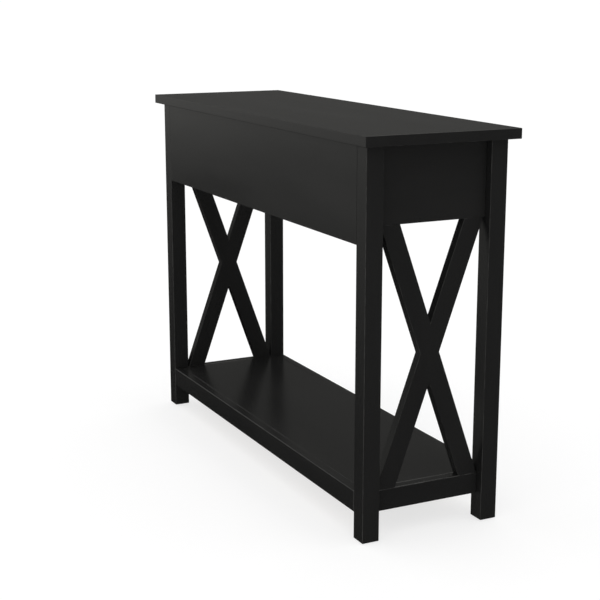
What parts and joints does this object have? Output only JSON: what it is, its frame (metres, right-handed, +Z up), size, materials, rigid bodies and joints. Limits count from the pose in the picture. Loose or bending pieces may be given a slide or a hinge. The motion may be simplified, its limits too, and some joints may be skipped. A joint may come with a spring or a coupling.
{
  "type": "lift-top console table",
  "caption": "Narrow console table with a slab top that lifts level and forward on sprung parallel arms over a deep storage well, square legs, X-braced ends and a low shelf.",
  "frame": {"origin": "on the floor under the middle of the table, at the closed table's bounding box bottom centre", "axes": "+X along the table's length to its right end, +Y from the front long side to the back, +Z up"},
  "size_m": [1, 0.314, 0.735],
  "materials": {
    "black_paint": "satin black paint on wood, slight orange peel",
    "well_floor_panel": "matt black painted board",
    "raw_wood": "raw pine, planed",
    "dowel_wood": "raw beech",
    "black_steel": "black electro-coated sheet steel",
    "spring_steel": "oiled drawn wire",
    "zinc_steel": "bright zinc plated",
    "cam_alloy": "die-cast zinc alloy, bare",
    "glide_plastic": "moulded black nylon",
    "bumper_rubber": "soft black silicone"
  },
  "bodies": {
    "case": {"leg_front_left": "black_paint", "leg_front_right": "black_paint", "leg_back_left": "black_paint", "leg_back_right": "black_paint", "apron_front": "black_paint", "apron_back": "black_paint", "apron_left": "black_paint", "apron_right": "black_paint", "rail_front": "black_paint", "rail_back": "black_paint", "rail_left": "black_paint", "rail_right": "black_paint", "brace_left_rising": "black_paint", "brace_left_falling": "black_paint", "brace_right_rising": "black_paint", "brace_right_falling": "black_paint", "well_floor": "well_floor_panel", "shelf": "black_paint", "shelf_cleat_front": "raw_wood", "shelf_cleat_back": "raw_wood", "dowels": "dowel_wood", "cam_nuts": "cam_alloy", "cam_bolts": "zinc_steel", "cleat_screws": "zinc_steel", "shelf_screws": "zinc_steel", "base_plate_screws": "zinc_steel", "foot_glides": "glide_plastic", "lid_bumpers": "bumper_rubber", "base_plate_left": "black_steel", "base_plate_right": "black_steel", "pivot_spacers": "zinc_steel", "lower_washers": "zinc_steel", "lower_rivets": "zinc_steel", "spring_posts": "zinc_steel", "stop_pins": "zinc_steel", "spring_left": "spring_steel", "spring_right": "spring_steel"},
    "front_arms": {"lift_arm_left": "black_steel", "lift_arm_right": "black_steel", "cross_tube": "black_steel", "lever_studs": "zinc_steel"},
    "rear_arm_left": {"rear_arm_left": "black_steel"},
    "rear_arm_right": {"rear_arm_right": "black_steel"},
    "top": {"table_top": "black_paint", "top_angle_left": "black_steel", "top_angle_right": "black_steel", "top_angle_screws": "zinc_steel", "upper_rivets": "zinc_steel", "upper_washers": "zinc_steel"}
  },
  "joints": [
    {"name": "top_lift", "type": "hinge", "parent": "case", "child": "front_arms", "pos_m": [0, -0.098, 0.666], "axis": [1, 0, 0], "range_deg": [0, 88], "deforming": ["spring_left", "spring_right"]},
    {"name": "rear_arm_left_turn", "type": "hinge", "parent": "case", "child": "rear_arm_left", "pos_m": [-0.44, -0.04, 0.666], "axis": [1, 0, 0], "range_deg": [0, 88]},
    {"name": "rear_arm_right_turn", "type": "hinge", "parent": "case", "child": "rear_arm_right", "pos_m": [0.44, -0.04, 0.666], "axis": [1, 0, 0], "range_deg": [0, 88]},
    {"name": "top_level", "type": "hinge", "parent": "front_arms", "child": "top", "pos_m": [0, 0.05166, 0.69781], "axis": [1, 0, 0], "range_deg": [-88, 0]}
  ],
  "couplings": [
    {"joint": "rear_arm_left_turn", "follows": "top_lift", "ratio": 1},
    {"joint": "rear_arm_right_turn", "follows": "top_lift", "ratio": 1},
    {"joint": "top_level", "follows": "top_lift", "ratio": -1}
  ]
}
